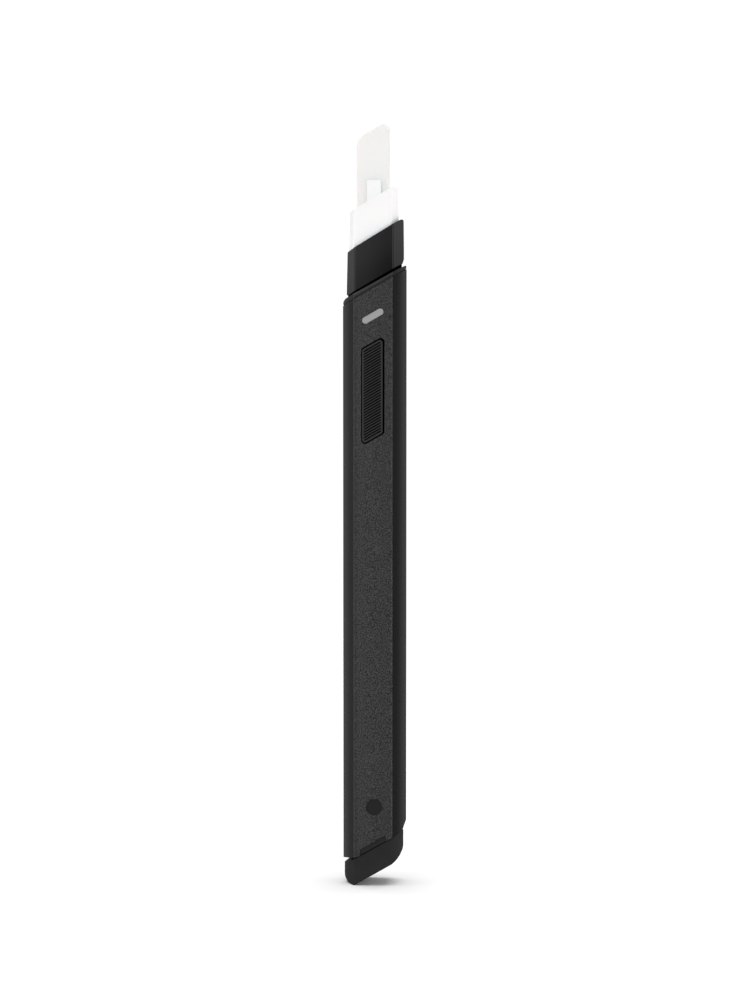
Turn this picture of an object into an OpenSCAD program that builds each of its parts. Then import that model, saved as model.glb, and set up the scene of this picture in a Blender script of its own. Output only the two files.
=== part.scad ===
// Slim cordless electric eraser standing on its end cap, tip up, front flat towards -Y.
// Millimetres. The origin is the centre of the footprint, at the lowest point of the end cap.

/* [Body] */
// Width across the two side edges
body_w = 14.1; // [14:0.1:15]
// Depth from the front flat to the back flat
body_d = 10; // [10:0.25:11]
// Width of the front flat and of the back flat
flat_w = 8.6; // [8.2:0.1:9]
// How far the side facets bulge outwards
facet_bulge = 0.22; // [0.1:0.02:0.3]
// How far the middle of the front flat stands out beyond its edges
crown = 0.14; // [0.06:0.02:0.2]
// Wall thickness of the two shells
wall = 1.1; // [0.9:0.05:1.1]
// Slope of the end cuts, rising to the right, in degrees
rake = 30; // [28:0.5:31]
// Height of the lower seam at mid width
seam_z = 8.45; // [8.4:0.05:8.6]
// Height of the top of the shells at mid width
shell_top_z = 132.7; // [132.5:0.1:134]

/* [Button and light] */
// Width of the button window
window_w = 5.16; // [4.6:0.02:5.4]
// Height of the button window along its straight sides
window_h = 21.55; // [18:0.05:21.6]
// Height of the middle of the button
button_z = 110.2; // [109:0.1:110.5]
// Mean gap between the button and its window
button_gap = 0.33; // [0.3:0.01:0.36]
// Number of grip grooves across the button
grooves = 33; // [10:1:33]
// Height of the middle of the light slot
light_z = 126.6; // [126.4:0.1:126.8]
// Length of the light slot
light_l = 5.3; // [4:0.1:5.4]
// Width of the light slot
light_w = 1.55; // [1:0.05:1.6]
// Diameter of the plain round dimple near the bottom
dimple_d = 3.6; // [2:0.1:5]
// Height of the dimple
dimple_z = 17.8; // [16:0.1:30]

/* [Head] */
// Height of the foot of the collar at mid width
collar_z = 134.45; // [134.4:0.05:134.8]
// Slope of the foot of the collar, a little steeper than the other cuts
collar_rake = 30.3; // [30:0.1:31]
// Slope of the top of the collar, steeper again
collar_top_rake = 31.4; // [30:0.1:32]
// Height of the top of the collar at mid width
collar_top_z = 144.1; // [143.6:0.1:144.3]
// Height of the top of the eraser holder at mid width
holder_top_z = 152.4; // [150:0.1:154]
// Width of the eraser blade
blade_w = 6.97; // [6:0.01:7]
// Thickness of the eraser blade
blade_t = 3.6; // [3:0.1:3.8]
// Height of the highest point of the blade
tip_z = 168.6; // [162:0.1:170]

/* [Drive] */
// Height of the swing axis of the head
pivot_z = 129.7; // [129.6:0.05:129.8]
// Radius of the pivot pin
pin_r = 0.75; // [0.6:0.05:0.75]
// Radius of the vibration motor
motor_r = 2; // [1.8:0.05:2]
// Height of the lower end of the motor can
motor_z = 88.5; // [88:0.1:89]
// Length of the motor can
motor_l = 8.4; // [8:0.1:8.4]

/* [Power] */
// Radius of the cylindrical cell
cell_r = 3.7; // [3.5:0.05:3.7]
// Height of the lower end of the cell
cell_z = 28.6; // [28.5:0.1:29]
// Length of the cell
cell_l = 47.4; // [40:0.1:47.4]

/* [Hidden] */
$fn = 64;

far = 20;                 // reach of cutting blocks
arc_steps = 6;            // straight steps in each rounded corner
fit = 0.05;               // clearance of parts that sit in the shells
press = 0.02;             // clearance of pressed-in and screwed-in parts
overlap = 0.1;            // how far joined solids reach into each other
edge_r = 0.6;             // rounding of the long edges beside the flats
side_r = 0.9;             // rounding of the two side edges
facet_r = 18;             // radius of the bulge across each side facet
edge_room = 0.45;         // part of a flat that the rounding of its edge takes
side_run = (body_w - flat_w) / 2;
side_len = norm([side_run, body_d / 2]);
front_y = -body_d / 2;
inner_y = body_d / 2 - wall;

// Lower corners of the shells, trimmed off the rake at the left and the right: how far in from
// the side edge the cut starts, and the height of its end at the side edge above that start
trim_left = [4.05, -1.27];
trim_right = [0.75, 2.15];

bezel_h = 1.15;           // top of the plate that stands on the shells
bezel_rake = rake - 1;    // the top of the plate falls away a little to the right
bezel_seam = 0.22;        // open seam under the plate
bezel_inset = 0.06;
bezel_lip = [0.15, 0.04];  // how far the lip inside the seam stands back, and its gap to the shells
bezel_corner_r = [0.3, 1.8];  // rounding of its upper corners, right and left
bezel_chamfer = [0.5, 0.45];  // depth and height of the chamfer along the front and the back
spigot_h = 1;
recess_z = shell_top_z + 0.15;
seal_t = 0.3;
neck = [-5.95, 6, -3.4, 3.8, 7.2];
neck_foot_z = recess_z + seal_t + 0.4;
neck_gap = 0.25;          // side clearance of the neck, for the swing of the head
frame_z = shell_top_z - 4.4;
pocket = [5.8, 5.2];      // opening that the swinging boss works in

board_y = [-1.9, -1.3];
board_w = 5.6;
board_z = [77, 127.3];
boss_z = [84, 123.1];
boss_r = 1.15;
pilot_r = 0.5;

button_x = -0.11;         // the button sits a little left in its window
button_y = [front_y + 0.1, -3.25];
window_r = 0.85;
pad_r = 0.6;
flange_t = 0.6;
flange_lip = 0.5;
flange_r = 1.2;
nub_r = 0.6;
switch_y = -2.5;
led_y = -2.6;
groove_pitch = 0.61;
groove_depth = 0.32;
groove_half_w = [0.16, 0.05];  // half width of a groove at its mouth and at its floor
rim = 0.36;

boss_size = [4.4, 5, 3.5];
stem_size = [3.8, 3.2];
stem_top_z = 141.3;
stem_socket = stem_size + [0.1, 0.1];
bush_r = 1.2;
motor_y = 1.75;
shaft_r = 0.4;

collar_sides = [-6.2, 6.46, -4.1, 4.35, 8.6];
collar_top_sides = [-5.95, 6.35];
collar_foot_x = 6.1;      // right end of the foot, left of the bevel up to the side edge
collar_bevel_h = 0.8;     // rise of that bevel
collar_corner_r = [0.25, 0.2, 0.5, 0.4, 0.35];
spigot_x = [-3.9, 4.4];
spigot_d = 5.6;
spigot_floor_z = 137.5;
holder_sides = [-5.6, 5.3, -4.35, 4, 7.2];
holder_top_sides = [-5.36, 4.75];
tongue_x = [-1.5, 1.6];
tongue_rise = 3.9;
blade_x = -0.32;          // the blade sits a little left of the middle
blade_foot_z = 142.3;
tip_r = 1.2;
shoulder_r = 3.3;

tab_x = 2.85;
tab_h = 1.37;
cap_gap = 0.15;
cap_sides = [-6.76, 6.42, -4.3, 4.2, 9.4];
cap_under_z = 2.47;
cap_heel_r = 4.5;
skirt_top_z = seam_z + 3.35;
skirt_wall = 0.9;
plate_z = [seam_z + 3.65, seam_z + 4.85];

usb_z = [13.2, 20.55];
usb_size = [8.94, 3.26];
usb_wall = 0.3;
charge_y = [usb_size.y / 2, usb_size.y / 2 + 0.8];
charge_z = [16.3, 27];

// ---------- colours ----------
satin_black = "#3b3b3b";
smooth_black = "#2a2a2a";
gap_black = "#101010";
white_plastic = "#f6f6f6";
eraser_white = "#efefed";
grip_black = "#262626";
board_green = "#1f5a3c";
steel = "#c8c8c8";
lamp_grey = "#a3a3a0";

// ---------- outlines ----------
function at_x(z, x, slope = rake) = z + x * tan(slope);
function unit(v) = v / norm(v);

// Points of one corner of an outline, rounded with radius r
function corner(before, p, after, r) =
    r <= 0 ? [p] :
    let (
        u = unit(before - p),
        v = unit(after - p),
        half = acos(u * v) / 2,
        centre = p + unit(u + v) * r / sin(half),
        from = p + u * r / tan(half) - centre,
        to = p + v * r / tan(half) - centre,
        start = atan2(from.y, from.x),
        sweep = (atan2(to.y, to.x) - start + 540) % 360 - 180
    )
    [for (i = [0:arc_steps])
        centre + r * [cos(start + sweep * i / arc_steps), sin(start + sweep * i / arc_steps)]];

function rounded(points, radii) =
    let (n = len(points))
    [for (i = [0:n - 1])
        each corner(points[(i + n - 1) % n], points[i], points[(i + 1) % n], radii[i])];

// The corner of a side edge stands out far enough for its rounding to reach the stated x
function side_extra(half_d, run, r, bulge) =
    r / sin(atan2(half_d, run) + atan2(2 * bulge, norm([half_d, run]))) - r;

function facet_middle(flat_end, side_end, bulge) =
    let (run = side_end - flat_end)
    (flat_end + side_end) / 2 + bulge * unit([run.y, -run.x]) * sign(run.x * run.y);

// Six-sided outline. sides holds the x of the left and right edges, the x of the left and
// right ends of the flats, and the depth. Each side facet may bulge outwards in one shallow
// arc, and the front flat may be crowned.
function six_sided(sides, r_edge, r_side, bulge = 0, front_crown = 0) =
    let (
        half_d = sides[4] / 2,
        left = [sides[0] - side_extra(half_d, sides[2] - sides[0], r_side, bulge), 0],
        right = [sides[1] + side_extra(half_d, sides[1] - sides[3], r_side, bulge), 0],
        half_f = (sides[3] - sides[2]) / 2,
        crown_run = half_f - edge_room,
        crown_y = -half_d - front_crown * crown_run / half_f,
        front_left = [sides[2], crown_y + 2 * front_crown],
        front_right = [sides[3], crown_y + 2 * front_crown],
        back_right = [sides[3], half_d],
        back_left = [sides[2], half_d],
        corners = [
            [left, r_side],
            if (bulge > 0) [facet_middle(front_left, left, bulge), facet_r],
            [front_left, r_edge],
            if (front_crown > 0)
                [[(sides[2] + sides[3]) / 2, crown_y], crown_run * half_f / (2 * front_crown)],
            [front_right, r_edge],
            if (bulge > 0) [facet_middle(front_right, right, bulge), facet_r],
            [right, r_side],
            if (bulge > 0) [facet_middle(back_right, right, bulge), facet_r],
            [back_right, r_edge],
            [back_left, r_edge],
            if (bulge > 0) [facet_middle(back_left, left, bulge), facet_r]
        ]
    )
    rounded([for (c = corners) c[0]], [for (c = corners) c[1]]);

function grown(sides, by) = sides + [-by, by, -by / 2, by / 2, 2 * by];

// Sides of the body's own outline, moved inwards by the inset all round
function body_sides(inset) =
    let (
        half_d = body_d / 2 - inset,
        half_w = body_w / 2 - inset * side_len / (body_d / 2),
        half_f = half_w - side_run * half_d / (body_d / 2)
    )
    [-half_w, half_w, -half_f, half_f, 2 * half_d];

function body_outline(inset = 0) = six_sided(body_sides(inset), edge_r, side_r, facet_bulge, crown);

function inner_outline(clearance) = six_sided(body_sides(wall + clearance), 0.3, 0.6);

// Parallelogram with upright sides and raked ends, centred on [x, z]
function leaning(at, w, h, r) =
    let (rise = w / 2 * tan(rake))
    rounded(
        [at + [-w / 2, -h / 2 - rise], at + [w / 2, -h / 2 + rise],
         at + [w / 2, h / 2 + rise], at + [-w / 2, h / 2 - rise]],
        [r, r, r, r]
    );

// ---------- shared solids ----------
module column(points, z0, z1)
    translate([0, 0, z0])
        linear_extrude(z1 - z0)
            polygon(points);

// Outline in the XZ plane, filled from y0 to y1
module plate(points, y0, y1)
    translate([0, (y0 + y1) / 2, 0])
        rotate([90, 0, 0])
            linear_extrude(y1 - y0, center = true)
                polygon(points);

// Everything between two raked planes, given by their heights at mid width
module slab(z0, z1, slope0 = rake, slope1 = rake)
    plate(
        [[-far, at_x(z0, -far, slope0)], [far, at_x(z0, far, slope0)],
         [far, at_x(z1, far, slope1)], [-far, at_x(z1, -far, slope1)]],
        -far, far
    );

module raked(points, z0, z1, slope0 = rake, slope1 = rake)
    intersection() {
        column(points, z0 - far, z1 + far);
        slab(z0, z1, slope0, slope1);
    }

// Block centred on the Z axis
module post(size, z0, z1)
    translate([-size.x / 2, -size.y / 2, z0])
        cube([size.x, size.y, z1 - z0]);

// Block given by its ranges on the three axes
module block(x, y, z)
    translate([x[0], y[0], z[0]])
        cube([x[1] - x[0], y[1] - y[0], z[1] - z[0]]);

// Round bar along Y
module bar_y(x, z, r, y0, y1)
    translate([x, y1, z])
        rotate([90, 0, 0])
            cylinder(h = y1 - y0, r = r);

// Upright round bar
module bar_z(x, y, r, z0, z1)
    translate([x, y, z0])
        cylinder(h = z1 - z0, r = r);

// Pill shape lying in the XZ plane along the rake, filled from y0 to y1
module raked_pill(z, l, w, y0, y1)
    translate([0, 0, z])
        rotate([0, -rake, 0]) {
            block([-(l - w) / 2, (l - w) / 2], [y0, y1], [-w / 2, w / 2]);
            for (side = [-1, 1])
                bar_y(side * (l - w) / 2, 0, w / 2, y0, y1);
        }

// Upright pill tube or bar, long side along X
module pill_z(l, w, z0, z1) {
    block([-(l - w) / 2, (l - w) / 2], [-w / 2, w / 2], [z0, z1]);
    for (side = [-1, 1])
        bar_z(side * (l - w) / 2, 0, w / 2, z0, z1);
}

// Bent wire through a list of points
module wire(path, r) {
    for (i = [0:len(path) - 2]) {
        run = path[i + 1] - path[i];
        translate(path[i])
            rotate([0, acos(run.z / norm(run)), atan2(run.y, run.x)])
                cylinder(h = norm(run), r = r, $fn = 24);
    }
    for (i = [1:len(path) - 2])
        translate(path[i])
            sphere(r = r, $fn = 24);
}

// ---------- casing ----------
module shell_half(side)
    intersection() {
        difference() {
            column(body_outline(), 0, far + tip_z);
            column(inner_outline(0), -1, far + tip_z + 1);
        }
        plate(
            [[-body_w / 2, at_x(seam_z, -body_w / 2 + trim_left.x) + trim_left.y],
             [-body_w / 2 + trim_left.x, at_x(seam_z, -body_w / 2 + trim_left.x)],
             [body_w / 2 - trim_right.x, at_x(seam_z, body_w / 2 - trim_right.x)],
             [body_w / 2, at_x(seam_z, body_w / 2 - trim_right.x) + trim_right.y],
             [body_w / 2, at_x(shell_top_z, body_w / 2)],
             [-body_w / 2, at_x(shell_top_z, -body_w / 2)]],
            min(0, side * far), max(0, side * far)
        );
    }

module window(y0, y1)
    plate(leaning([0, button_z], window_w, window_h, window_r), y0, y1);

module front_shell()
    color(satin_black)
    difference() {
        union() {
            shell_half(-1);
            for (z = boss_z)
                bar_y(0, z, boss_r, -inner_y - fit, board_y[0]);
        }
        window(-far, -inner_y + press);
        raked_pill(light_z, light_l, light_w, -far, -inner_y + press);
        bar_y(0.3, dimple_z, dimple_d / 2, -far, front_y + 0.25);
        plate(leaning([0, seam_z], 2 * tab_x, 2 * tab_h, 0.15), -far, -inner_y + press);
        for (z = boss_z)
            bar_y(0, z, pilot_r + press, -inner_y + 0.2, 0);
    }

module rear_shell()
    color(satin_black) {
        shell_half(1);
        for (x = [-2.8, 2.8])
            block([x - 0.4, x + 0.4], [charge_y[1], inner_y + fit], [18, 25]);
    }

// Bar along the rake whose chamfers trim the front and the back of the bezel
module bezel_ridge() {
    half_d = body_d / 2 - bezel_inset;
    run = bezel_chamfer[0];
    rise = bezel_chamfer[1];
    translate([0, 0, shell_top_z + bezel_h])
        rotate([0, -bezel_rake, 0])
            rotate([90, 0, 90])
                linear_extrude(2 * far, center = true)
                    polygon([[-half_d, -far], [half_d, -far], [half_d, -rise],
                             [half_d - 2 * run, rise], [-half_d + 2 * run, rise], [-half_d, -rise]]);
}

module nose_bezel()
    color(satin_black)
    difference() {
        union() {
            intersection() {
                column(body_outline(bezel_inset), shell_top_z - far, shell_top_z + far);
                plate(
                    rounded(
                        [[-body_w / 2, at_x(shell_top_z + bezel_seam, -body_w / 2)],
                         [body_w / 2, at_x(shell_top_z + bezel_seam, body_w / 2)],
                         [body_w / 2, at_x(shell_top_z + bezel_h, body_w / 2, bezel_rake)],
                         [-body_w / 2, at_x(shell_top_z + bezel_h, -body_w / 2, bezel_rake)]],
                        [0, 0, bezel_corner_r[0], bezel_corner_r[1]]
                    ),
                    -far, far
                );
                bezel_ridge();
            }
            raked(body_outline(bezel_lip[0]), shell_top_z + bezel_lip[1], shell_top_z + bezel_seam + overlap);
            raked(inner_outline(fit), shell_top_z - spigot_h, shell_top_z + bezel_seam + overlap);
        }
        raked(six_sided(grown(neck, neck_gap), 0.4, 0.8), recess_z, recess_z + far);
        post(pocket, shell_top_z - far, shell_top_z + far);
    }

module nose_seal()
    color(gap_black)
    difference() {
        raked(six_sided(grown(neck, neck_gap - fit), 0.4, 0.8), recess_z, recess_z + seal_t);
        post([stem_size.x + 1, stem_size.y + 0.7], shell_top_z - far, shell_top_z + far);
    }

module nose_frame()
    color("#565a5e")
    difference() {
        raked(inner_outline(fit), frame_z, shell_top_z - spigot_h - fit);
        post(pocket, shell_top_z - far, shell_top_z + far);
        bar_y(0, pivot_z, pin_r + press, -far, far);
    }

module pivot_pin()
    color(steel)
    bar_y(0, pivot_z, pin_r, -inner_y + 0.3, inner_y - 0.3);

module centring_pads()
    color("#5c4a7a")
    for (side = [-1, 1])
        translate([side * (pocket.x / 2 - 0.31), 0, 0])
            post([0.62, 3.6], pivot_z - 0.9, pivot_z + 0.9);

module light_pipe()
    color(lamp_grey) {
        raked_pill(light_z, light_l - 0.06, light_w - 0.06, front_y + 0.07, -inner_y);
        raked_pill(light_z, light_l + 0.8, light_w + 0.8, -inner_y, -inner_y + 0.5);
        raked_pill(light_z, light_l - 2, light_w - 0.4, -inner_y + 0.5, led_y - 0.15);
    }

// ---------- electronics ----------
module indicator_led()
    color("#f2f0d8")
    block([-0.8, 0.8], [led_y, board_y[0]], [light_z - 0.4, light_z + 0.4]);

module main_board()
    color(board_green)
    difference() {
        block([-board_w / 2, board_w / 2], board_y, board_z);
        for (z = boss_z)
            bar_y(0, z, pilot_r + 0.1, -far, far);
    }

module board_chips()
    color("#202224") {
        block([-1.6, 1.6], [-2.7, board_y[0]], [87, 90.2]);
        block([-2.3, -0.6], [-2.5, board_y[0]], [92, 93.7]);
        block([0.5, 2.1], [-2.9, board_y[0]], [92, 93.6]);
        for (z = [79, 80.4, 98, 101, 104, 116, 118])
            block([1.2, 2.2], [-2.4, board_y[0]], [z - 0.25, z + 0.25]);
    }

module board_screws()
    color(steel)
    for (z = boss_z)
        difference() {
            union() {
                bar_y(0, z, pilot_r, -inner_y + 0.4, board_y[1]);
                bar_y(0, z, 0.9, board_y[1], board_y[1] + 0.4);
            }
            for (turn = [0, 90])
                translate([0, board_y[1] + 0.4, z])
                    rotate([0, turn, 0])
                        cube([1.1, 0.4, 0.22], center = true);
        }

module tact_switch()
    color(steel)
    difference() {
        block([-1.5, 1.5], [switch_y, board_y[0]], [button_z - 1.3, button_z + 1.3]);
        bar_y(0, button_z, nub_r + 0.05, -far, switch_y + 0.4);
    }

module battery_connector()
    color("#e6e0cc")
    block([-2.4, 2.4], [board_y[1], 0.3], [77.3, 81.2]);

module battery_cell()
    color("#2f6fb5")
    bar_z(0, 0, cell_r, cell_z, cell_z + cell_l);

module battery_tabs()
    color(steel)
    for (z = [cell_z - 0.2, cell_z + cell_l])
        block([-4.3, 1.2], [-0.8, 0.8], [z, z + 0.2]);

module battery_pads()
    color("#3c3c40")
    for (z = [cell_z + 3, cell_z + cell_l - 7])
        difference() {
            column(inner_outline(fit), z, z + 4);
            bar_z(0, 0, cell_r, z - 1, z + 5);
            for (side = [-1, 1])
                translate([side * (3.5 + far / 2), 0, z])
                    cube([far, far, 3 * far], center = true);
        }

module battery_leads()
    color("#b33a32") {
        wire([[-4.6, -0.4, cell_z - 0.1], [-4.6, -0.4, 80.4], [-2.4, -0.4, 80.4]], 0.3);
        wire([[-3.6, -0.4, cell_z + cell_l + 0.2], [-3.6, -0.4, 78.4], [-2.4, -0.4, 78.4]], 0.3);
    }

module charge_leads()
    color("#303030") {
        pad_y = charge_y[0] - 0.3;
        wire([[3.5, pad_y, 25.5], [3.5, pad_y, 27.6], [4.1, pad_y, 27.6], [4.1, -1, 27.6],
              [4.1, -1, 78.3], [2.4, -1, 78.3]], 0.3);
        wire([[2.4, pad_y, 25.5], [2.4, pad_y, 26.9], [2.4, 0, 26.9], [4.8, 0, 26.9],
              [4.8, 0, 80.2], [2.4, 0, 80.2]], 0.3);
    }

module charge_board()
    color(board_green)
    block([-3.9, 3.9], charge_y, charge_z);

module charge_chip()
    color("#202224") {
        block([-1.5, 1.5], [charge_y[1], charge_y[1] + 0.8], [19, 22]);
        for (x = [-1, 0, 1])
            block([x - 0.25, x + 0.25], [charge_y[1], charge_y[1] + 0.5], [23.5, 24.5]);
    }

module usb_shell()
    color(steel)
    difference() {
        pill_z(usb_size.x, usb_size.y, usb_z[0], usb_z[1]);
        pill_z(usb_size.x - 2 * usb_wall, usb_size.y - 2 * usb_wall, usb_z[0] - 1, usb_z[1] - usb_wall);
    }

module usb_tongue()
    color("#1c1c1c") {
        post([6.6, 0.7], usb_z[0] + 0.8, usb_z[1] - usb_wall);
        post([7, 2.3], usb_z[1] - usb_wall - 1.2, usb_z[1] - usb_wall);
    }

module tail_plate()
    color("#3a3d40")
    difference() {
        raked(inner_outline(fit), plate_z[0], plate_z[1]);
        pill_z(usb_size.x + 0.16, usb_size.y + 0.14, 0, far + plate_z[1]);
    }

// ---------- button ----------
module groove(i) {
    above = 0.2;
    mouth = groove_half_w[0] + (groove_half_w[0] - groove_half_w[1]) * above / groove_depth;
    foot = groove_half_w[1];
    translate([0, button_y[0], button_z + (i - (grooves - 1) / 2) * groove_pitch])
        rotate([0, -rake, 0])
            rotate([90, 0, 90])
                linear_extrude(2 * window_w, center = true)
                    polygon([[-above, -mouth], [groove_depth, -foot],
                             [groove_depth, foot], [-above, mouth]]);
}

module button_cap()
    color(grip_black) {
        pad_w = window_w - 2 * button_gap;
        pad_h = window_h - 2 * button_gap / cos(rake);
        middle = [button_x, at_x(button_z, button_x)];
        difference() {
            plate(leaning(middle, pad_w, pad_h, pad_r), button_y[0], button_y[1]);
            intersection() {
                plate(leaning(middle, pad_w - 2 * rim, pad_h - 2 * rim / cos(rake), pad_r / 2),
                      -far, far);
                union() {
                    for (i = [0:grooves - 1])
                        groove(i);
                }
            }
        }
        plate(leaning([0, button_z], window_w + 2 * flange_lip, window_h + 2 * flange_lip, flange_r),
              button_y[1] - flange_t, button_y[1]);
        bar_y(0, button_z, nub_r, button_y[1] - overlap, switch_y - 0.37);
    }

module switch_plunger()
    color("#7a3030")
    bar_y(0, button_z, nub_r, switch_y - 0.35, switch_y + 0.05);

// ---------- swinging drive ----------
module rocker_arm()
    color("#8b8f94") {
        cradle_z = [motor_z + 1, motor_z + motor_l + 0.5];
        difference() {
            union() {
                post([boss_size.x, boss_size.y], pivot_z - 1.9, pivot_z - 1.9 + boss_size.z);
                post(stem_size, pivot_z, stem_top_z);
                block([-1.5, 1.5], [-0.3, 1.1], [cradle_z[1] - 1, pivot_z - 1.5]);
                block([-2.6, 2.6], [-0.9, 2.6], cradle_z);
            }
            bar_y(0, pivot_z, bush_r + press, -far, far);
            bar_z(0, motor_y, motor_r + press, cradle_z[0] - 1, motor_z + motor_l + press);
        }
    }

module pivot_bushes()
    color("#b08a4a")
    for (y = [[-boss_size.y / 2, -0.9], [0.9, boss_size.y / 2]])
        difference() {
            bar_y(0, pivot_z, bush_r, y[0], y[1]);
            bar_y(0, pivot_z, pin_r + 0.04, -far, far);
        }

module motor_can()
    color(steel)
    difference() {
        bar_z(0, motor_y, motor_r, motor_z, motor_z + motor_l);
        bar_z(0, motor_y, shaft_r + 0.05, motor_z - 1, motor_z + 6);
    }

module motor_bell()
    color("#e0e0dc")
    difference() {
        bar_z(0, motor_y, motor_r - 0.4, motor_z - 0.4, motor_z);
        bar_z(0, motor_y, shaft_r + 0.05, motor_z - 1, motor_z + 1);
    }

module motor_shaft()
    color(steel)
    bar_z(0, motor_y, shaft_r, motor_z - 3.6, motor_z + 5.8);

module eccentric_weight()
    color("#9a9c9e")
    difference() {
        union() {
            bar_z(0, motor_y, 0.8, motor_z - 3.5, motor_z - 0.7);
            intersection() {
                bar_z(0, motor_y, motor_r - 0.25, motor_z - 3.5, motor_z - 0.7);
                block([0, far], [-far, far], [motor_z - far, motor_z]);
            }
        }
        bar_z(0, motor_y, shaft_r + press, motor_z - far, motor_z);
    }

// ---------- head ----------
// Spigot of the eraser holder, or the pocket for it in the collar
module spigot(clearance, z1) {
    half_d = spigot_d / 2 + clearance;
    left = spigot_x[0] - clearance;
    right = spigot_x[1] + clearance;
    raked([[left, -half_d], [right, -half_d], [right, half_d], [left, half_d]],
          spigot_floor_z - clearance, z1, rake, collar_top_rake);
}

module collar()
    color(smooth_black)
    difference() {
        union() {
            intersection() {
                column(six_sided(collar_sides, 0.45, 0.7, 0, crown), collar_z - far, collar_top_z + far);
                plate(
                    rounded(
                        [[collar_sides[0], at_x(collar_z, collar_sides[0], collar_rake)],
                         [collar_foot_x, at_x(collar_z, collar_foot_x, collar_rake)],
                         [collar_sides[1],
                          at_x(collar_z, collar_sides[1], collar_rake) + collar_bevel_h],
                         [collar_top_sides[1], at_x(collar_top_z, collar_top_sides[1], collar_top_rake)],
                         [collar_top_sides[0], at_x(collar_top_z, collar_top_sides[0], collar_top_rake)]],
                        collar_corner_r
                    ),
                    -far, far
                );
            }
            raked(six_sided(neck, 0.4, 0.8), neck_foot_z, collar_z + 1);
        }
        spigot(fit, collar_top_z + far);
        post(stem_socket, collar_z - far, collar_top_z);
    }

module eraser_holder()
    color(white_plastic)
    difference() {
        union() {
            intersection() {
                column(six_sided(holder_sides, 0.4, 0.6), collar_z - far, tip_z);
                plate(
                    rounded(
                        [[holder_sides[0], at_x(collar_top_z, holder_sides[0], collar_top_rake)],
                         [holder_sides[1], at_x(collar_top_z, holder_sides[1], collar_top_rake)],
                         [holder_top_sides[1], at_x(holder_top_z, holder_top_sides[1])],
                         [holder_top_sides[0], at_x(holder_top_z, holder_top_sides[0])]],
                        [0, 0, 0.5, 1]
                    ),
                    -far, far
                );
            }
            spigot(0, collar_top_z + overlap);
            plate(
                rounded([[tongue_x[0], holder_top_z - 2], [tongue_x[1], holder_top_z - 2],
                         [tongue_x[1], holder_top_z + tongue_rise],
                         [tongue_x[0], holder_top_z + tongue_rise]],
                        [0, 0, 0.4, 0.4]),
                -blade_t / 2 - 0.75, -blade_t / 2 - 0.1
            );
        }
        post(stem_socket, collar_z - far, stem_top_z + 0.2);
        translate([blade_x, 0, 0])
            post([blade_w + 0.1, blade_t + 0.1], blade_foot_z - 0.05, tip_z);
    }

module eraser_blade()
    color(eraser_white) {
        half_w = blade_w / 2;
        slope_z = tip_z - tip_r + tip_r / tan((90 - rake) / 2);
        plate(
            rounded(
                [[blade_x - half_w, blade_foot_z], [blade_x + half_w, blade_foot_z],
                 [blade_x + half_w, slope_z], [blade_x - half_w, slope_z - blade_w * tan(rake)]],
                [0.3, 0.3, tip_r, shoulder_r]
            ),
            -blade_t / 2, blade_t / 2
        );
    }

// ---------- end cap ----------
module end_cap()
    color(smooth_black) {
        left_z = at_x(cap_under_z, cap_sides[0]);
        foot_r = -left_z / (1 / tan((90 - rake) / 2) - 1);
        difference() {
            union() {
                intersection() {
                    column(six_sided(cap_sides, edge_r, 1, facet_bulge, crown), -1, seam_z + far);
                    plate(
                        rounded(
                            [[cap_sides[0], at_x(seam_z - cap_gap, cap_sides[0])],
                             [cap_sides[0], left_z],
                             [cap_sides[1], at_x(cap_under_z, cap_sides[1])],
                             [cap_sides[1], at_x(seam_z - cap_gap, cap_sides[1])]],
                            [0, foot_r, cap_heel_r, 0]
                        ),
                        -far, far
                    );
                }
                difference() {
                    raked(inner_outline(0.08), seam_z - 1, skirt_top_z);
                    difference() {
                        raked(inner_outline(-1), seam_z + 1.4, seam_z + 2.2);
                        column(inner_outline(0.35), 0, far + seam_z);
                    }
                }
            }
            raked(inner_outline(skirt_wall), cap_under_z + 2.4, far + seam_z);
        }
        plate(leaning([0, seam_z + tab_h / 2], 2 * tab_x - 0.16, tab_h - 0.2, 0.12),
              front_y + 0.2, -inner_y + 0.3);
    }

module cap_seal()
    color("#0c0c0c")
    difference() {
        raked(inner_outline(0.03), seam_z + 1.42, seam_z + 2.18);
        column(inner_outline(0.33), 0, far + seam_z);
    }

front_shell();
rear_shell();
nose_bezel();
nose_seal();
nose_frame();
pivot_pin();
centring_pads();
light_pipe();
indicator_led();
main_board();
board_chips();
board_screws();
tact_switch();
battery_connector();
battery_cell();
battery_tabs();
battery_pads();
battery_leads();
charge_leads();
charge_board();
charge_chip();
usb_shell();
usb_tongue();
tail_plate();
button_cap();
switch_plunger();
rocker_arm();
pivot_bushes();
motor_can();
motor_bell();
motor_shaft();
eccentric_weight();
collar();
eraser_holder();
eraser_blade();
end_cap();
cap_seal();
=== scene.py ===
"""Looks of a slim cordless electric eraser that stands on its end cap, tip up.

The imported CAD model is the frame: it is loaded first and never moved. Every part keeps its CAD
shape; modifiers round its edges, and a procedural material covers it. The rest is a pale floor,
soft studio light and the camera. Lengths are metres unless a name ends in _mm or _MM.
"""
import math

import bmesh
import bpy
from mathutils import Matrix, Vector


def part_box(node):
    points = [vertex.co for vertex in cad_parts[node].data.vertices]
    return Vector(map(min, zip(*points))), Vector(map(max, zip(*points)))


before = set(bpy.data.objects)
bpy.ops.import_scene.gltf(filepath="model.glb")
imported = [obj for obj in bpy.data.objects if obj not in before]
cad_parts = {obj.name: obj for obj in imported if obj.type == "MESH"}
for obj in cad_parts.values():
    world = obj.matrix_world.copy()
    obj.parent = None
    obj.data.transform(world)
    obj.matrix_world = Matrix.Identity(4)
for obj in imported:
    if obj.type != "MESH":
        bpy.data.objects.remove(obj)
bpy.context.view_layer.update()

MM = 0.001

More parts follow.
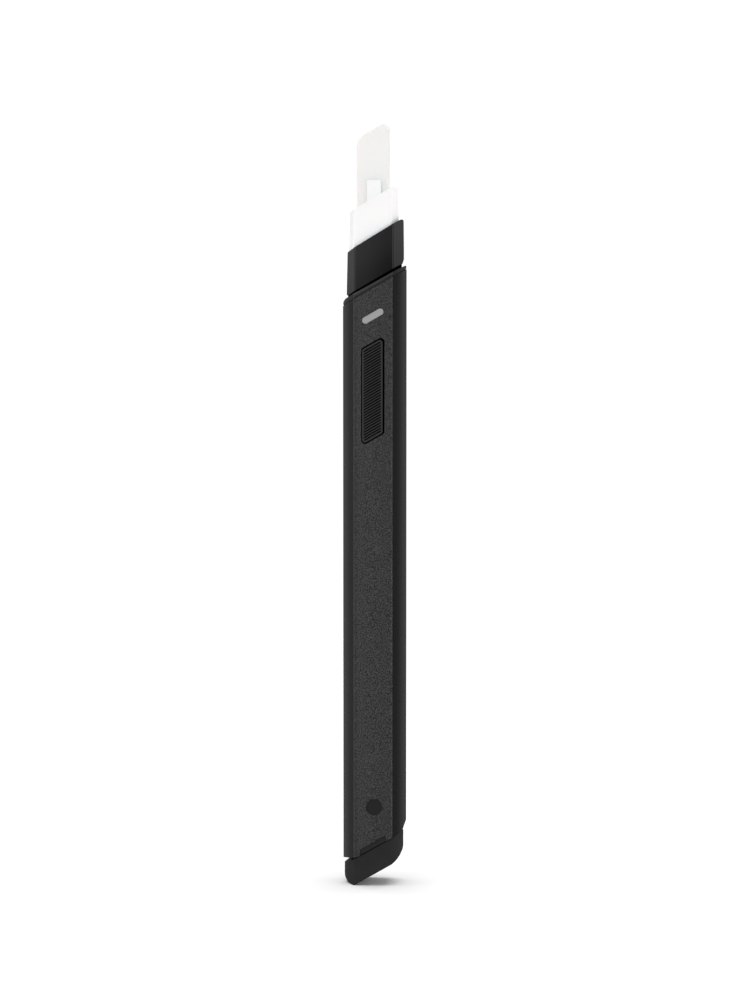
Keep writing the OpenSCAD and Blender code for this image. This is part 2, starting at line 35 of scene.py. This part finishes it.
# ---------- camera, floor and light ----------
CAMERA_AZIMUTH = math.radians(5.1)
CAMERA_ELEVATION = math.radians(5)
CAMERA_DISTANCE = 0.65
CAMERA_NEAR_LIMIT = 0.01
CAMERA_LENS_MM = 105.6
TARGET = Vector((0.00005, 0, 0.0858))
FLOOR_RADIUS = 0.6
FLOOR_CORNERS = 128
FLOOR_FADE = (0.2 * FLOOR_RADIUS, 0.9 * FLOOR_RADIUS)
OVERHEAD_PLACE = Vector((0, 0.1, 2.2))
OVERHEAD_SIZE = (2.4, 2)
OVERHEAD_POWER = 54
BACKGROUND_LEVEL = 1.02
# Brightness of the room that glossy surfaces reflect, by direction: degrees from the front, with
# the left side negative. Soft boxes stand at the front left and the front right.
ROOM_LEVELS = {
    -180: 0.4, -150: 0.36, -128: 0.33, -105: 0.14, -80: 0.6, -42: 1.2, -14: 0.5, 4: 0.16,
    20: 0.06, 38: 1.4, 50: 1.4, 68: 0.08, 98: 0.05, 112: 0.21, 126: 0.58, 145: 0.48, 180: 0.4,
}
ROOM_TOP_LEVEL = 1.0
ROOM_BOTTOM_LEVEL = 0.1
# Light that falls on matt surfaces, from the horizon and from above
SCATTERED_LEVELS = (1.16, 0.2)
# Where the levels change over, by the height of the direction: 0 is level and 1 straight up
ROOM_TOP_FADE = (0.3, 0.8)
ROOM_BOTTOM_FADE = (-0.2, -0.7)
SCATTERED_FADE = (0.2, 0.85)

# ---------- places on the object that the materials need ----------
COLLAR_RAKE = math.radians(30.3)
# Collar foot and height: below the foot the neck is painted black as shadow, and above it the
# collar is painted lighter towards its top
COLLAR_FOOT_Z = 134.42 * MM
COLLAR_HEIGHT = 8 * MM
DIMPLE_PLACE = Vector((0.3, -4.6, 17.8)) * MM
DIMPLE_RADIUS = 1.79 * MM
# Painted shade: over these x the spark texture fades into satin black at the left edge of the
# front
LEFT_EDGE_PAINTED_SHADE_X = (-4.6 * MM, -3 * MM)
BUTTON_FACE_Y = -4.9 * MM
# Depths over which the button's ribs give way to groove floors that are painted dark as shade
RIB_FADE_Y = (BUTTON_FACE_Y + 0.05 * MM, BUTTON_FACE_Y + 0.16 * MM)
CONTACT_PITCH = 0.5 * MM
CONTACT_REACH = 2.75 * MM
SLEEVE_BAND = 6 * MM

# ---------- edges ----------
# Width of the rounded edges of the nodes that show; the other nodes have INNER_EDGE_MM
EDGE_MM = {
    "front_shell": 0.05, "rear_shell": 0.05, "nose_bezel": 0.14, "collar": 0.12, "end_cap": 0.2,
    "button_cap": 0.14, "eraser_holder": 0.16, "eraser_blade": 0.4,
}
INNER_EDGE_MM = 0.06
EDGE_SEGMENTS = 2
# Only edges that turn by more than this are rounded
EDGE_ANGLE = math.radians(25)
# Faces that differ by less than this are joined
FLAT_ANGLE = math.radians(0.3)
WELD_DISTANCE = 1e-6


# ---------- node trees ----------
class Nodes:
    """A node tree and short ways to add to it."""

    def __init__(self, tree):
        self.tree = tree

    def node(self, kind, **settings):
        made = self.tree.nodes.new(kind)
        for key, value in settings.items():
            setattr(made, key, value)
        return made

    def feed(self, value, socket):
        """Sets a socket to a number or a colour, or links another node's output to it."""
        if isinstance(value, bpy.types.NodeSocket):
            self.tree.links.new(value, socket)
        elif isinstance(value, tuple) and socket.type == "RGBA":
            socket.default_value = (*value, 1)
        else:
            socket.default_value = value

    def math(self, operation, *values):
        made = self.node("ShaderNodeMath", operation=operation)
        for value, socket in zip(values, made.inputs):
            self.feed(value, socket)
        return made.outputs[0]

    def spread(self, value, low, high, start=0.3, end=0.7):
        """Maps value from start..end onto low..high, smoothly and without going past."""
        made = self.node("ShaderNodeMapRange", interpolation_type="SMOOTHSTEP")
        for number, socket in zip((value, start, end, low, high), made.inputs):
            self.feed(number, socket)
        return made.outputs["Result"]

    def mix(self, factor, a, b, kind="RGBA"):
        """Goes from a to b as factor rises; kind is RGBA for colours and FLOAT for numbers."""
        made = self.node("ShaderNodeMix", data_type=kind)
        self.feed(factor, made.inputs["Factor"])
        self.feed(a, made.inputs["A"])
        self.feed(b, made.inputs["B"])
        return made.outputs["Result"]

    def split(self, vector):
        """The x, y and z of a vector."""
        made = self.node("ShaderNodeSeparateXYZ")
        self.feed(vector, made.inputs[0])
        return made.outputs


class Shader(Nodes):
    """One procedural material: a Principled surface and the nodes that feed it."""

    def __init__(self, name):
        self.material = bpy.data.materials.new(name)
        self.material.use_nodes = True
        super().__init__(self.material.node_tree)
        self.surface = self.tree.nodes["Principled BSDF"]
        self.place = self.node("ShaderNodeTexCoord").outputs["Object"]

    def set(self, **inputs):
        """Feeds inputs of the surface; a _ in a name stands for a space."""
        for name, value in inputs.items():
            self.feed(value, self.surface.inputs[name.replace("_", " ")])

    def position(self):
        """The x, y and z of the point, in metres."""
        return self.split(self.place)

    def facing(self, axis):
        """How far the surface faces along an axis, from 0 to 1, whichever way."""
        normal = self.node("ShaderNodeNewGeometry").outputs["True Normal"]
        return self.math("ABSOLUTE", self.split(normal)[axis])

    def stretched(self, scale):
        """The position, scaled differently along the three axes."""
        made = self.node("ShaderNodeVectorMath", operation="MULTIPLY")
        self.feed(self.place, made.inputs[0])
        made.inputs[1].default_value = scale
        return made.outputs[0]

    def noise(self, size_mm, detail=2.0, roughness=0.5, stretch=None):
        """Noise from 0 to 1 whose main grain is size_mm across."""
        made = self.node("ShaderNodeTexNoise")
        self.feed(self.stretched(stretch) if stretch else self.place, made.inputs["Vector"])
        made.inputs["Scale"].default_value = 1 / (size_mm * MM)
        made.inputs["Detail"].default_value = detail
        made.inputs["Roughness"].default_value = roughness
        return made.outputs["Fac"]

    def cells(self, size_mm, metric="EUCLIDEAN"):
        """Distance to the nearest of many scattered points, about size_mm apart."""
        made = self.node("ShaderNodeTexVoronoi", distance=metric)
        self.feed(self.place, made.inputs["Vector"])
        made.inputs["Scale"].default_value = 1 / (size_mm * MM)
        return made.outputs["Distance"]

    def bump(self, height, depth_mm, strength=1.0):
        made = self.node("ShaderNodeBump")
        self.feed(height, made.inputs["Height"])
        self.feed(strength, made.inputs["Strength"])
        made.inputs["Distance"].default_value = depth_mm * MM
        self.feed(made.outputs["Normal"], self.surface.inputs["Normal"])


# ---------- materials ----------
def grey(value):
    return (value, value, value)


def scaled(colour, factor):
    """The colour, made darker or lighter."""
    return tuple(min(1, channel * factor) for channel in colour)


def moulded(name, colour, roughness, grain_mm, depth_mm, tint=0.12, **more):
    """Moulded plastic or rubber: fine grain, faint colour clouds and slightly uneven gloss."""
    shader = Shader(name)
    clouds = shader.noise(9, 3)
    grain = shader.noise(grain_mm, 3, 0.6)
    darker = scaled(colour, 1 - tint)
    lighter = scaled(colour, 1 + tint)
    shader.set(
        Base_Color=shader.mix(shader.spread(clouds, 0, 1), darker, lighter),
        Roughness=shader.spread(clouds, roughness * 0.92, min(1, roughness * 1.08)),
        **more,
    )
    shader.bump(grain, depth_mm)
    return shader.material


def textured_shell(name):
    """Spark-eroded grey texture on the flats, over satin black side facets.

    The texture fades out near the left edge into satin black, as painted shade on the left of
    the front. The floor of the round dimple at the lower front is smooth and darker.
    """
    shader = Shader(name)
    satin_black = grey(0.006)
    spark_grey = grey(0.056)
    dimple_black = grey(0.007)
    x, y, z = shader.position()
    aside = shader.math("SUBTRACT", x, DIMPLE_PLACE.x)
    above = shader.math("SUBTRACT", z, DIMPLE_PLACE.z)
    squares = [shader.math("POWER", side, 2.0) for side in (aside, above)]
    reach = shader.math("SQRT", shader.math("ADD", *squares))
    dimple = shader.math("MULTIPLY", shader.math("LESS_THAN", reach, DIMPLE_RADIUS),
                         shader.math("LESS_THAN", y, DIMPLE_PLACE.y))
    grain = shader.noise(0.26, 3, 0.65)
    pits = shader.noise(0.13, 2)
    clouds = shader.noise(14, 3)
    # The flat mask also fades towards the left edge, which paints shade on the left of the front
    flat = shader.math("MULTIPLY", shader.spread(shader.facing("Y"), 0, 1, 0.62, 0.97),
                       shader.spread(x, 0.35, 1, *LEFT_EDGE_PAINTED_SHADE_X))
    eroded = shader.mix(shader.spread(grain, 0, 1, 0.41, 0.6), satin_black, spark_grey)
    shader.set(
        Base_Color=shader.mix(dimple, shader.mix(flat, satin_black, eroded), dimple_black),
        Roughness=shader.math("ADD", shader.spread(flat, 0.27, 0.32, 0, 1),
                              shader.spread(clouds, -0.02, 0.02)),
    )
    relief = shader.math("MULTIPLY", flat, shader.math("SUBTRACT", 1.0, dimple))
    shader.bump(shader.math("ADD", grain, shader.math("MULTIPLY", pits, 0.5)), 0.05,
                shader.math("MULTIPLY", relief, 0.7))
    return shader.material


def grip_rubber(name):
    """Satin ribs over dull grooves, whose floors are painted dark as shade."""
    shader = Shader(name)
    grain = shader.noise(0.2, 3)
    rib = shader.spread(shader.position()["Y"], 1, 0, *RIB_FADE_Y)
    rib_colour = shader.mix(grain, grey(0.015), grey(0.027))
    # The groove floors are painted near black: painted shade in the deep grooves
    groove_painted_shade = grey(0.001)
    shader.set(
        Base_Color=shader.mix(rib, groove_painted_shade, rib_colour),
        Roughness=shader.spread(rib, 0.8, 0.3, 0, 1),
        Specular_IOR_Level=shader.spread(rib, 0.1, 0.6, 0, 1),
    )
    shader.bump(grain, 0.004)
    return shader.material


def connector_tongue(name):
    """Dark tongue with a row of gold contacts."""
    shader = Shader(name)
    gold = (0.85, 0.62, 0.25)
    x = shader.position()["X"]
    across = shader.math("FRACT", shader.math("DIVIDE", x, CONTACT_PITCH))
    contact = shader.math("MULTIPLY", shader.math("LESS_THAN", across, 0.5),
                          shader.math("LESS_THAN", shader.math("ABSOLUTE", x), CONTACT_REACH))
    shader.set(
        Base_Color=shader.mix(contact, grey(0.012), gold),
        Metallic=contact,
        Roughness=shader.spread(shader.noise(0.4), 0.25, 0.35),
    )
    shader.bump(contact, 0.02)
    return shader.material


def collar_plastic(name):
    """Glossy black, painted lighter towards the top; a dead black neck below the foot is painted
    shadow.
    """
    shader = Shader(name)
    # Painted shadow: the neck in the gap under the collar is made dead black and reflects
    # nothing
    neck_painted_shadow = grey(0.0006)
    place = shader.position()
    rise = shader.math("MULTIPLY", place["X"], math.tan(COLLAR_RAKE))
    level = shader.math("SUBTRACT", place["Z"], rise)
    body = shader.math("GREATER_THAN", level, COLLAR_FOOT_Z)
    # Painted light: the collar's colour gets lighter towards its top
    height = shader.spread(level, 0, 1, COLLAR_FOOT_Z, COLLAR_FOOT_Z + COLLAR_HEIGHT)
    body_with_painted_top_light = shader.mix(height, grey(0.002), grey(0.011))
    # Painted sheen: the side facets are made to reflect more than the front face
    gloss = shader.spread(shader.facing("Y"), 0.66, 0.5, 0.5, 0.9)
    scuffs = shader.noise(0.5, 3)
    shader.set(
        Base_Color=shader.mix(body, neck_painted_shadow, body_with_painted_top_light),
        Roughness=shader.spread(scuffs, 0.19, 0.23),
        Specular_IOR_Level=shader.math("MULTIPLY", body, gloss),
    )
    shader.bump(scuffs, 0.003)
    return shader.material


def metal(name, colour, roughness, along="Z"):
    """Drawn or turned metal with fine streaks along one axis."""
    shader = Shader(name)
    stretch = tuple(0.06 if axis == along else 1 for axis in "XYZ")
    streaks = shader.noise(0.25, 3, 0.6, stretch)
    shader.set(
        Base_Color=shader.mix(streaks, scaled(colour, 0.8), colour),
        Metallic=1.0,
        Roughness=shader.spread(streaks, roughness * 0.7, roughness * 1.3),
    )
    shader.bump(streaks, 0.01)
    return shader.material


def foam(name, colour):
    """Open-celled foam: dull, with cells that darken towards their edges."""
    shader = Shader(name)
    cells = shader.cells(0.35)
    shader.set(
        Base_Color=shader.mix(cells, colour, scaled(colour, 0.4)),
        Roughness=0.95,
    )
    shader.bump(cells, 0.15)
    return shader.material


def circuit_board(name):
    """Solder mask with copper tracks under it and small tinned pads."""
    shader = Shader(name)
    tin = (0.62, 0.6, 0.55)
    cells = shader.cells(0.9, "CHEBYCHEV")
    tracks = shader.spread(cells, 1, 0, 0.38, 0.42)
    pads = shader.spread(cells, 1, 0, 0.1, 0.13)
    mask = shader.mix(tracks, (0.006, 0.05, 0.022), (0.012, 0.085, 0.04))
    shader.set(
        Base_Color=shader.mix(pads, mask, tin),
        Metallic=pads,
        Roughness=shader.spread(pads, 0.38, 0.25, 0, 1),
        Coat_Weight=0.4,
        Coat_Roughness=0.15,
    )
    shader.bump(tracks, 0.03)
    return shader.material


def cell_sleeve(name):
    """Blue shrink sleeve with a plain darker band at the cell's upper end."""
    shader = Shader(name)
    band_colour = (0.02, 0.03, 0.05)
    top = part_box("battery_cell")[1].z
    band = shader.math("GREATER_THAN", shader.position()["Z"], top - SLEEVE_BAND)
    wrinkles = shader.noise(1.6, 2, 0.5, (1, 1, 0.25))
    sleeve = shader.mix(shader.spread(wrinkles, 0, 1), (0.02, 0.12, 0.36), (0.03, 0.16, 0.44))
    shader.set(
        Base_Color=shader.mix(band, sleeve, band_colour),
        Roughness=0.3,
        Coat_Weight=0.5,
        Coat_Roughness=0.2,
    )
    shader.bump(wrinkles, 0.05)
    return shader.material


# The finish of each material slot of the frame
MATERIALS = {
    "shell_textured": textured_shell("shell_textured"),
    "bezel_satin": moulded("bezel_satin", grey(0.014), 0.36, 0.3, 0.008),
    "soft_black": moulded("soft_black", grey(0.006), 0.8, 0.25, 0.02),
    "inner_plastic": moulded("inner_plastic", grey(0.05), 0.5, 0.4, 0.015),
    "steel": metal("steel", (0.62, 0.61, 0.6), 0.28),
    "foam": foam("foam", (0.05, 0.05, 0.055)),
    "light_pipe": moulded("light_pipe", grey(0.33), 0.35, 0.2, 0.004, tint=0.03,
                          Subsurface_Weight=0.2, Subsurface_Scale=0.5 * MM),
    "led_resin": moulded("led_resin", (0.75, 0.7, 0.45), 0.25, 0.3, 0.004,
                         Subsurface_Weight=0.3, Subsurface_Scale=0.4 * MM),
    "circuit_board": circuit_board("circuit_board"),
    "chip_black": moulded("chip_black", grey(0.012), 0.55, 0.15, 0.01),
    "connector_plastic": moulded("connector_plastic", (0.72, 0.68, 0.55), 0.45, 0.3, 0.008),
    "cell_sleeve": cell_sleeve("cell_sleeve"),
    "wire_red": moulded("wire_red", (0.42, 0.02, 0.015), 0.4, 0.3, 0.01),
    "wire_black": moulded("wire_black", grey(0.012), 0.4, 0.3, 0.01),
    "button_black": grip_rubber("button_black"),
    "switch_red": moulded("switch_red", (0.3, 0.02, 0.02), 0.45, 0.3, 0.008),
    "bronze": metal("bronze", (0.62, 0.42, 0.2), 0.35, "Y"),
    "tungsten": metal("tungsten", (0.32, 0.32, 0.33), 0.4),
    "collar_gloss": collar_plastic("collar_gloss"),
    "white_plastic": moulded("white_plastic", grey(0.91), 0.4, 0.3, 0.004, tint=0.01,
                             Subsurface_Weight=0.15, Subsurface_Scale=1 * MM,
                             Specular_IOR_Level=0.25),
    "eraser_white": moulded("eraser_white", (0.84, 0.84, 0.825), 0.6, 0.35, 0.012, tint=0.012,
                            Subsurface_Weight=0.25, Subsurface_Scale=1.5 * MM),
    "cap_black": moulded("cap_black", grey(0.021), 0.5, 0.3, 0.008, Specular_IOR_Level=0.15),
}
# Nodes whose finish differs from their slot's
OWN_FINISH = {"usb_tongue": connector_tongue("connector_tongue")}


# ---------- looks of the CAD nodes ----------
def soften(thing, width_mm):
    """Joins the flat faces of a CAD node and rounds its edges, without touching its mesh."""
    weld = thing.modifiers.new("weld", "WELD")
    weld.merge_threshold = WELD_DISTANCE
    join = thing.modifiers.new("join", "DECIMATE")
    join.decimate_type = "DISSOLVE"
    join.angle_limit = FLAT_ANGLE
    edge = thing.modifiers.new("edge", "BEVEL")
    edge.width = width_mm * MM
    edge.segments = EDGE_SEGMENTS
    edge.limit_method = "ANGLE"
    edge.angle_limit = EDGE_ANGLE
    shade = thing.modifiers.new("shade", "WEIGHTED_NORMAL")
    shade.keep_sharp = False


def finish_node(name, thing):
    """Gives a CAD node its material and its rounded edges."""
    slot = thing.material_slots[0]
    finish = OWN_FINISH.get(name, MATERIALS[slot.name])
    slot.link = "OBJECT"
    slot.material = finish
    soften(thing, EDGE_MM.get(name, INNER_EDGE_MM))


# ---------- stage ----------
def add_object(name, data):
    made = bpy.data.objects.new(name, data)
    bpy.context.scene.collection.objects.link(made)
    return made


def aim(thing, direction):
    """Turns a light or a camera so that it looks along a direction."""
    thing.rotation_euler = direction.to_track_quat("-Z", "Y").to_euler()


def flat_disc(name, radius):
    mesh = bpy.data.meshes.new(name)
    shape = bmesh.new()
    bmesh.ops.create_circle(shape, cap_ends=True, segments=FLOOR_CORNERS, radius=radius)
    shape.to_mesh(mesh)
    shape.free()
    return add_object(name, mesh)


def floor():
    """White disc that fades out into the background and can't be seen from below."""
    made = flat_disc("floor", FLOOR_RADIUS)
    shader = Shader("pale_floor")
    distance = shader.node("ShaderNodeVectorMath", operation="LENGTH")
    shader.feed(shader.place, distance.inputs[0])
    near = shader.spread(distance.outputs["Value"], 1, 0, *FLOOR_FADE)
    below = shader.node("ShaderNodeNewGeometry").outputs["Backfacing"]
    shader.set(
        Base_Color=shader.mix(shader.noise(40), grey(0.86), grey(0.88)),
        Roughness=0.9,
        Specular_IOR_Level=0.0,
        Alpha=shader.math("MULTIPLY", near, shader.math("SUBTRACT", 1.0, below)),
    )
    made.data.materials.append(shader.material)
    made.visible_glossy = False


def overhead_light():
    """Large rectangular light aimed at the object; glossy surfaces don't show it."""
    light = bpy.data.lights.new("overhead", "AREA")
    light.shape = "RECTANGLE"
    light.size, light.size_y = OVERHEAD_SIZE
    light.energy = OVERHEAD_POWER
    made = add_object("overhead", light)
    made.location = OVERHEAD_PLACE
    made.visible_glossy = False
    aim(made, TARGET - OVERHEAD_PLACE)


def studio_world():
    """Soft studio surroundings.

    The camera sees plain white. Matt surfaces get light from all sides, less from above. Glossy
    surfaces reflect ROOM_LEVELS all round, with a bright top and a dark bottom.
    """
    world = bpy.data.worlds.new("studio")
    world.use_nodes = True
    world.cycles.sampling_method = "NONE"
    bpy.context.scene.world = world
    nodes = Nodes(world.node_tree)
    x, y, z = nodes.split(nodes.node("ShaderNodeTexCoord").outputs["Generated"])
    turn = nodes.math("ARCTAN2", x, nodes.math("MULTIPLY", y, -1.0))
    around = nodes.node("ShaderNodeValToRGB")
    nodes.feed(nodes.math("MULTIPLY_ADD", turn, 1 / math.tau, 0.5), around.inputs["Fac"])
    around.color_ramp.interpolation = "EASE"
    stops = around.color_ramp.elements
    for angle in list(ROOM_LEVELS)[1:-1]:
        stops.new((angle + 180) / 360)
    for stop, level in zip(stops, ROOM_LEVELS.values()):
        stop.color = (*grey(level), 1)
    at_bottom = nodes.spread(z, 0, 1, *ROOM_BOTTOM_FADE)
    at_top = nodes.spread(z, 0, 1, *ROOM_TOP_FADE)
    lower = nodes.mix(at_bottom, around.outputs["Color"], ROOM_BOTTOM_LEVEL, "FLOAT")
    reflected = nodes.mix(at_top, lower, ROOM_TOP_LEVEL, "FLOAT")
    scattered = nodes.spread(z, *SCATTERED_LEVELS, *SCATTERED_FADE)
    ray = nodes.node("ShaderNodeLightPath").outputs
    room = nodes.mix(ray["Is Diffuse Ray"], reflected, scattered, "FLOAT")
    light = nodes.mix(ray["Is Camera Ray"], room, BACKGROUND_LEVEL, "FLOAT")
    background = nodes.tree.nodes["Background"].inputs
    nodes.feed(light, background["Strength"])
    nodes.feed(grey(1), background["Color"])


def camera():
    lens = bpy.data.cameras.new("camera")
    lens.lens = CAMERA_LENS_MM
    lens.clip_start = CAMERA_NEAR_LIMIT
    away = Vector((
        math.sin(CAMERA_AZIMUTH) * math.cos(CAMERA_ELEVATION),
        -math.cos(CAMERA_AZIMUTH) * math.cos(CAMERA_ELEVATION),
        math.sin(CAMERA_ELEVATION),
    ))
    made = add_object("camera", lens)
    made.location = TARGET + CAMERA_DISTANCE * away
    aim(made, -away)
    bpy.context.scene.camera = made


for node_name, node_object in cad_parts.items():
    finish_node(node_name, node_object)
floor()
studio_world()
overhead_light()
camera()
bpy.context.scene.view_settings.view_transform = "Standard"
